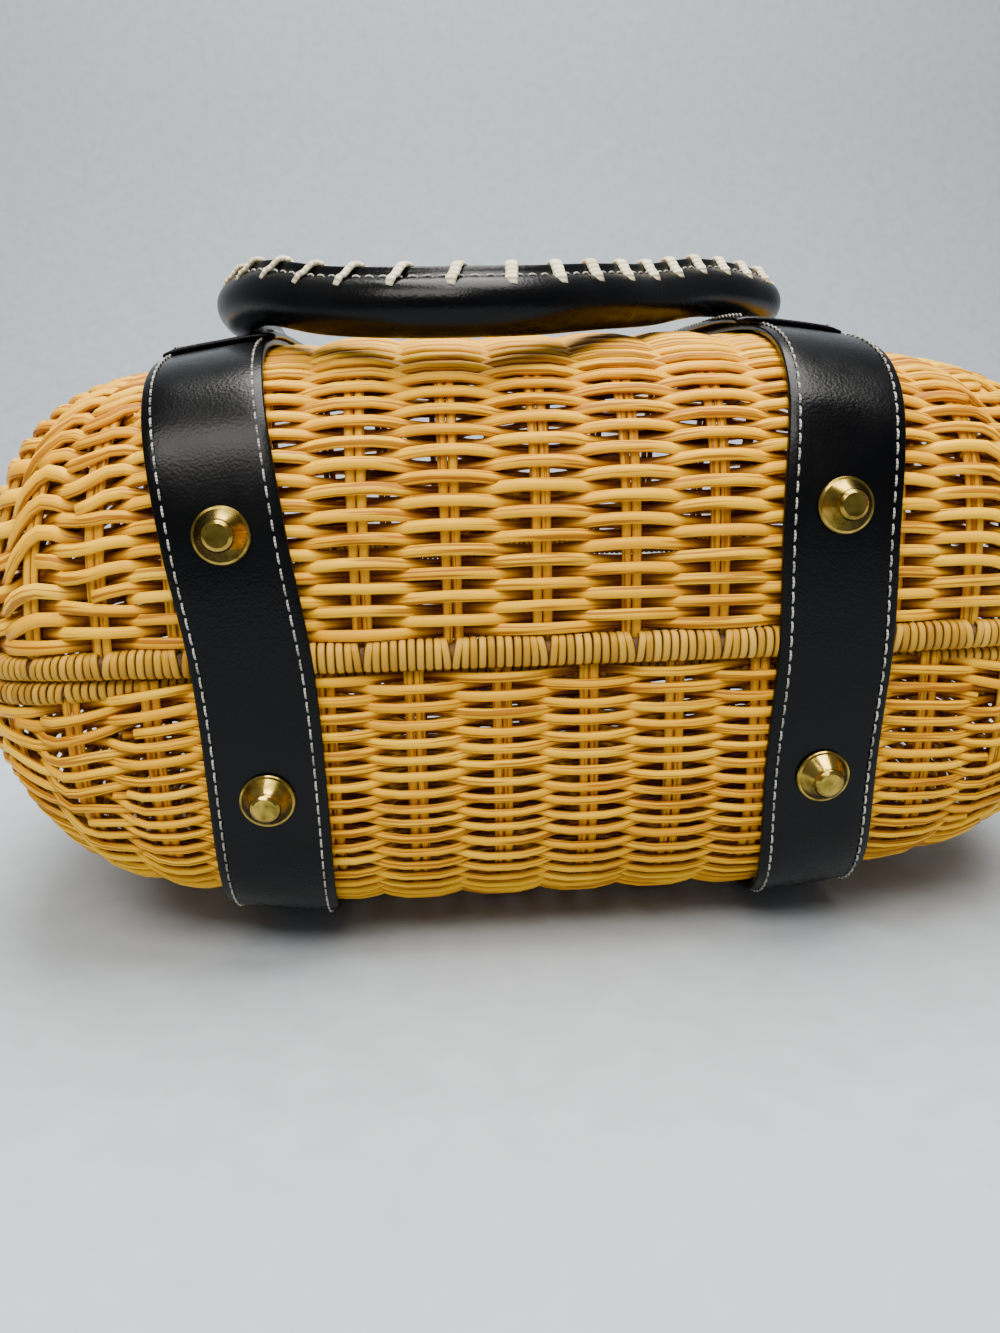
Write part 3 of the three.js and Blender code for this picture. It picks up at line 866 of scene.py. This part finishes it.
# Feet: turned cones with a thin flange and a bevelled flat tip
footProfile = [
    {"radius": 6.4, "height": 0.0}, {"radius": 6.4, "height": 0.45}, {"radius": 6.2, "height": 0.75},
    {"radius": 5.75, "height": 0.95}, {"radius": 3.75, "height": 3.9}, {"radius": 3.45, "height": 4.35},
    {"radius": 3.4, "height": 4.6}, {"radius": 3.2, "height": 4.85}, {"radius": 2.6, "height": 5.3},
    {"radius": 0.001, "height": 5.3},
]


def turnFoot(tip):
    body = bmesh.new()
    outline = [body.verts.new((row["radius"] * mm, 0, row["height"] * mm)) for row in footProfile]
    outline.insert(0, body.verts.new((0.001 * mm, 0, 0)))
    edges = [body.edges.new(pair) for pair in zip(outline, outline[1:])]
    bmesh.ops.spin(body, geom=outline + edges, cent=(0, 0, 0), axis=(0, 0, 1), dvec=(0, 0, 0),
                   angle=2 * math.pi, steps=48, use_merge=True)
    bmesh.ops.remove_doubles(body, verts=body.verts, dist=0.01 * mm)
    bmesh.ops.recalc_face_normals(body, faces=body.faces)
    outward = Vector(tip["axis"]).normalized()
    base = Vector(tip["pos_m"]) - outward * footProfile[-1]["height"] * mm
    turn = Vector((0, 0, 1)).rotation_difference(outward).to_matrix().to_4x4()
    bmesh.ops.transform(body, matrix=Matrix.Translation(base) @ turn, verts=body.verts)
    node = tip["name"].removesuffix("_tip")
    mesh = bpy.data.meshes.new("brass_" + node)
    body.to_mesh(mesh)
    body.free()
    piece = addPiece("brass_" + node, mesh, brass, [node])
    edgeSplit = piece.modifiers.new("crisp_edges", "EDGE_SPLIT")
    edgeSplit.split_angle = math.radians(28)


for tip in frame["record"]["mounts"]:
    turnFoot(tip)
print("feet turned")

# Handles: rolled leather over a cord, its two edges standing up as a laced ridge
handle = {"diameter": 13.4, "ridge": 1.9, "ridgeHalf": 1.35, "ridgeCrowding": 0.75,
          "tongueWidth": 13.0, "tongueThickness": 2.2, "sides": 40, "steps": 260}
laceSize = {"pitch": 12.5, "thick": 0.7, "wide": 1.5, "reach": 4.6, "slant": -2.4, "sides": 8,
            "steps": 11, "lift": 0.49, "overRidge": 0.7, "dip": 1.3, "dipStart": 0.8, "anchorX": -22.0}
seam = {"reach": 2.6, "rise": [-0.3, 0.1, 0.2, 0.2, 0.1, -0.3]}
handles = {
    "upper": {"tongue": 42.0, "taper": 22.0, "route": [
        {"x": -81.5, "y": 44, "lift": -1}, {"x": -81.5, "y": 54, "lift": -2.2},
        {"x": -81.5, "y": 61, "lift": -2}, {"x": -81.5, "y": 63, "lift": 1},
        {"x": -81.5, "y": 58, "lift": 4.4}, {"x": -81.5, "y": 46, "lift": 5},
        {"x": -81.5, "y": 30, "lift": 6.5}, {"x": -81.5, "y": 12, "lift": 7.6},
        {"x": -80, "y": -8, "lift": 7.9}, {"x": -77, "y": -27, "lift": 8.1},
        {"x": -68, "y": -46, "lift": 8}, {"x": -53, "y": -63, "lift": 4.4},
        {"x": -36, "y": -73, "lift": 2.8}, {"x": -20, "y": -75, "lift": 2.6},
        {"x": -5, "y": -70, "lift": 3.2}, {"x": 11, "y": -57, "lift": 5},
        {"x": 28, "y": -39, "lift": 7}, {"x": 45, "y": -21, "lift": 10.4},
        {"x": 62, "y": -4, "lift": 10.7}, {"x": 73, "y": 11, "lift": 10},
        {"x": 75, "y": 28, "lift": 8.9}, {"x": 72, "y": 46, "lift": 6.4},
        {"x": 69, "y": 58, "lift": 5.8}, {"x": 68, "y": 63, "lift": 2.4},
        {"x": 67.5, "y": 61, "lift": -0.3}, {"x": 67, "y": 54, "lift": -0.5},
        {"x": 67, "y": 44, "lift": 0.7},
    ]},
    "lower": {"tongue": 18.0, "taper": 20.0, "route": [
        {"x": -71, "y": 43.5, "lift": -0.8}, {"x": -71.3, "y": 54, "lift": 0.1},
        {"x": -72, "y": 63, "lift": 1.7}, {"x": -73, "y": 72, "lift": 2.8},
        {"x": -74, "y": 82, "lift": 3.7}, {"x": -75, "y": 96, "lift": 3.7},
        {"x": -72, "y": 116, "lift": 3.7}, {"x": -62, "y": 138, "lift": 3.7},
        {"x": -44, "y": 155, "lift": 3.7}, {"x": -20, "y": 163, "lift": 3.7},
        {"x": 6, "y": 163, "lift": 3.7}, {"x": 31, "y": 155, "lift": 3.7},
        {"x": 51, "y": 138, "lift": 3.7}, {"x": 63, "y": 116, "lift": 3.7},
        {"x": 66, "y": 96, "lift": 3.7}, {"x": 66, "y": 82, "lift": 3.7},
        {"x": 65, "y": 72, "lift": 2.8}, {"x": 64.5, "y": 63, "lift": 1.2},
        {"x": 64, "y": 54, "lift": -0.4}, {"x": 64, "y": 43.5, "lift": -1.3},
    ]},
}


# Smooth curve through the points, sampled finely
def smoothRoute(points, samples=24):
    points = np.concatenate([[2 * points[0] - points[1]], points, [2 * points[-1] - points[-2]]])
    share = np.linspace(0, 1, samples, endpoint=False)[:, None]
    stretches = []
    for a, b, c, d in zip(points, points[1:], points[2:], points[3:]):
        first, second, third = [np.linalg.norm(q - p) ** 0.5 for p, q in ((a, b), (b, c), (c, d))]
        start = ((b - a) / first - (c - a) / (first + second) + (c - b) / second) * second
        end = ((c - b) / second - (d - b) / (second + third) + (d - c) / third) * second
        cubic = 2 * b - 2 * c + start + end
        square = -3 * b + 3 * c - 2 * start - end
        stretches.append(b + start * share + square * share ** 2 + cubic * share ** 3)
    return np.concatenate(stretches + [points[-2:-1]])


def handleFrame(name):
    made, bowl = handles[name], bowls[name]
    points = np.array([[row["x"], row["y"], row["lift"] + bowl["up"] * bowl["depth"]]
                       for row in made["route"]], float)
    line = smoothRoute(points)
    run = np.concatenate([[0], np.cumsum(np.linalg.norm(np.diff(line, axis=0), axis=1))])
    slope = unit(np.gradient(line, run, axis=0))

    def at(lengths):
        place = np.stack([np.interp(lengths, run, line[:, axis]) for axis in range(3)], -1)
        clamped = np.clip(lengths, made["tongue"], run[-1] - made["tongue"])
        leg = np.stack([np.interp(clamped, run, slope[:, axis]) for axis in range(2)], -1)
        tangent = unit(np.stack([np.interp(lengths, run, slope[:, axis]) for axis in range(3)], -1))
        side = unit(np.stack([leg[..., 1], -leg[..., 0], np.zeros_like(leg[..., 0])], -1))
        up = unit(np.cross(side, tangent))
        fromEnd = np.minimum(lengths, run[-1] - lengths)
        roundness = smooth(fromEnd, made["tongue"], made["tongue"] + made["taper"])
        return place, side, up, roundness
    return at, run[-1]


def rollHandle(name):
    at, length = handleFrame(name)
    body = bmesh.new()
    bmesh.ops.create_cone(body, cap_ends=True, segments=handle["sides"], radius1=1, radius2=1, depth=1)
    sides = [item for item in body.edges if abs(item.verts[0].co.z - item.verts[1].co.z) > 0.5]
    bmesh.ops.subdivide_edges(body, edges=sides, cuts=handle["steps"], use_grid_fill=True)
    mesh = bpy.data.meshes.new("rolled_handle_" + name)
    body.to_mesh(mesh)
    body.free()
    flat = np.zeros(len(mesh.vertices) * 3)
    mesh.vertices.foreach_get("co", flat)
    flat = flat.reshape(-1, 3)
    turn = np.arctan2(flat[:, 0], flat[:, 1])
    turn -= handle["ridgeCrowding"] * np.sin(turn)
    place, side, up, roundness = at((flat[:, 2] + 0.5) * length)
    flatWide, flatThick, tube = (handle[key] for key in ("tongueWidth", "tongueThickness", "diameter"))
    wide = (flatWide + (tube - flatWide) * roundness) / 2
    thick = (flatThick + (tube - flatThick) * roundness) / 2
    across = np.sin(turn) * wide
    onRidge = np.exp(-(across / handle["ridgeHalf"]) ** 4) * (np.cos(turn) > 0) * (up[:, 2] > 0)
    rise = np.cos(turn) * thick + handle["ridge"] * onRidge * roundness
    points = place + side * across[:, None] + up * rise[:, None]
    mesh.vertices.foreach_set("co", (points * mm + bagMiddle).ravel())
    if name == "upper":
        mesh.flip_normals()
    addPiece("rolled_handle_" + name, mesh, leather, ["handle_" + name])
    laceHandle(name, at, length)
    sewSeam(name, at, length)


# Cream lacing over the ridge
def laceHandle(name, at, length):
    made = handles[name]
    margin = made["tongue"] + made["taper"]
    heap = newHeap()
    arch = np.linspace(-1, 1, laceSize["steps"])
    section = ovalSection(laceSize["thick"], laceSize["wide"], laceSize["sides"])
    lengths = np.linspace(margin, length - margin, 600)
    anchor = lengths[np.argmin(np.abs(at(lengths)[0][:, 0] - laceSize["anchorX"]))]
    before = int((anchor - margin) / laceSize["pitch"])
    after = int((length - margin - anchor) / laceSize["pitch"])
    for start in anchor + laceSize["pitch"] * np.arange(-before, after + 1):
        place, side, up, _ = at(start + laceSize["slant"] * arch)
        across = laceSize["reach"] * arch
        tube = np.sqrt((handle["diameter"] / 2) ** 2 - across ** 2)
        ridgeHalf = handle["ridgeHalf"] + laceSize["overRidge"]
        ridge = handle["ridge"] * np.exp(-(across / ridgeHalf) ** 4)
        dip = -laceSize["dip"] * smooth(np.abs(arch), laceSize["dipStart"], 1.0)
        rise = tube + ridge + laceSize["lift"] + dip
        path = place + side * across[:, None] + up * rise[:, None]
        addStrand(heap, path, up, section, 0.5, 1.0)
    addPiece("lacing_" + name, heapMesh("lacing_" + name, heap), lacing)


# White seam at both sides of the ridge
def sewSeam(name, at, length):
    margin = handles[name]["tongue"] + handles[name]["taper"]
    heap = newHeap()
    rise = np.array(seam["rise"]) + math.sqrt((handle["diameter"] / 2) ** 2 - seam["reach"] ** 2)
    for across in (-seam["reach"], seam["reach"]):
        for start in np.arange(margin, length - margin, stitch["pitch"]):
            place, side, up, _ = at(start + stitch["length"] * np.linspace(0, 1, len(rise)))
            addStrand(heap, place + side * across + up * rise[:, None], up, stitchSection, 0.5, 1.0)
    addPiece("handle_seam_" + name, heapMesh("handle_seam_" + name, heap), thread)


for name in bowls:
    rollHandle(name)
print("handles rolled")

# Studio, in metres: paper that runs up behind, two soft lights and an even sky
studio = {"half": 1.6, "near": -1.4, "bend": 0.6, "bendRadius": 0.5, "wall": 1.6}


def layPaper():
    body = bmesh.new()
    turn = np.linspace(0, np.pi / 2, 16)
    profile = [(studio["near"], 0.0)]
    profile += [(studio["bend"] + studio["bendRadius"] * math.sin(t),
                 studio["bendRadius"] * (1 - math.cos(t))) for t in turn]
    profile.append((studio["bend"] + studio["bendRadius"], studio["wall"]))
    line = [body.verts.new((-studio["half"], y, z)) for y, z in profile]
    edges = [body.edges.new(pair) for pair in zip(line, line[1:])]
    swept = bmesh.ops.extrude_edge_only(body, edges=edges)
    moved = [item for item in swept["geom"] if isinstance(item, bmesh.types.BMVert)]
    bmesh.ops.translate(body, vec=(2 * studio["half"], 0, 0), verts=moved)
    bmesh.ops.recalc_face_normals(body, faces=body.faces)
    mesh = bpy.data.meshes.new("paper")
    body.to_mesh(mesh)
    body.free()
    mesh.materials.append(makePaper())
    mesh.polygons.foreach_set("use_smooth", [True] * len(mesh.polygons))
    paper = bpy.data.objects.new("paper", mesh)
    bpy.context.scene.collection.objects.link(paper)


lights = [
    {"name": "overhead", "place": (0.1, -0.02, 1.35), "size": (1.2, 0.8), "power": 47.0,
     "colour": "#fffdf8"},
    {"name": "front", "place": (-0.3, -0.8, 1.05), "size": (0.9, 0.5), "power": 17.0,
     "colour": "#fffaf2"},
]
sky = {"aim": (0.0, -0.05, 0.08), "colour": "#ced3da", "strength": 0.38}


def addLight(row):
    light = bpy.data.lights.new(row["name"], "AREA")
    light.shape = "RECTANGLE"
    light.size, light.size_y = row["size"]
    light.energy = row["power"]
    light.color = linearColour(row["colour"])[:3]
    lamp = bpy.data.objects.new(row["name"], light)
    lamp.location = row["place"]
    shining = Vector(sky["aim"]) - Vector(row["place"])
    lamp.rotation_euler = shining.to_track_quat("-Z", "Y").to_euler()
    bpy.context.scene.collection.objects.link(lamp)


def lightStudio():
    for row in lights:
        addLight(row)
    world = bpy.data.worlds.new("sky")
    world.use_nodes = True
    background = world.node_tree.nodes["Background"]
    background.inputs["Color"].default_value = linearColour(sky["colour"])
    background.inputs["Strength"].default_value = sky["strength"]
    bpy.context.scene.world = world


# The photo's camera, by its line of sight to the middle of the seam at the base
lens = {"focalPixels": 1050.0, "imageHeight": 1333.0, "distance": 238.0, "pitch": 13.9, "yaw": 4.0,
        "roll": 1.2, "aimRight": 44.0, "aimUp": 16.5, "sensor": 36.0, "aimX": -6.1}


def placeCamera():
    pitch, yaw, roll = (math.radians(lens[key]) for key in ("pitch", "yaw", "roll"))
    flat = math.cos(pitch)
    forward = Vector((math.sin(yaw) * flat, math.cos(yaw) * flat, -math.sin(pitch)))
    level = Vector((math.cos(yaw), -math.sin(yaw), 0))
    upright = level.cross(forward)
    right = level * math.cos(roll) - upright * math.sin(roll)
    up = upright * math.cos(roll) + level * math.sin(roll)
    sight = forward + (right * lens["aimRight"] + up * lens["aimUp"]) / lens["focalPixels"]
    aim = Vector(bagMiddle) + Vector((lens["aimX"], -bag["halfHeight"], 0)) * mm
    camera = bpy.data.cameras.new("camera")
    camera.sensor_fit = "VERTICAL"
    camera.sensor_height = lens["sensor"]
    camera.lens = lens["focalPixels"] / lens["imageHeight"] * lens["sensor"]
    camera.clip_start = 0.01
    viewer = bpy.data.objects.new("camera", camera)
    turned = Matrix((right, up, -forward)).transposed().to_4x4()
    viewer.matrix_world = Matrix.Translation(aim - sight.normalized() * lens["distance"] * mm) @ turned
    bpy.context.scene.collection.objects.link(viewer)
    bpy.context.scene.camera = viewer


layPaper()
lightStudio()
placeCamera()
print("studio ready")
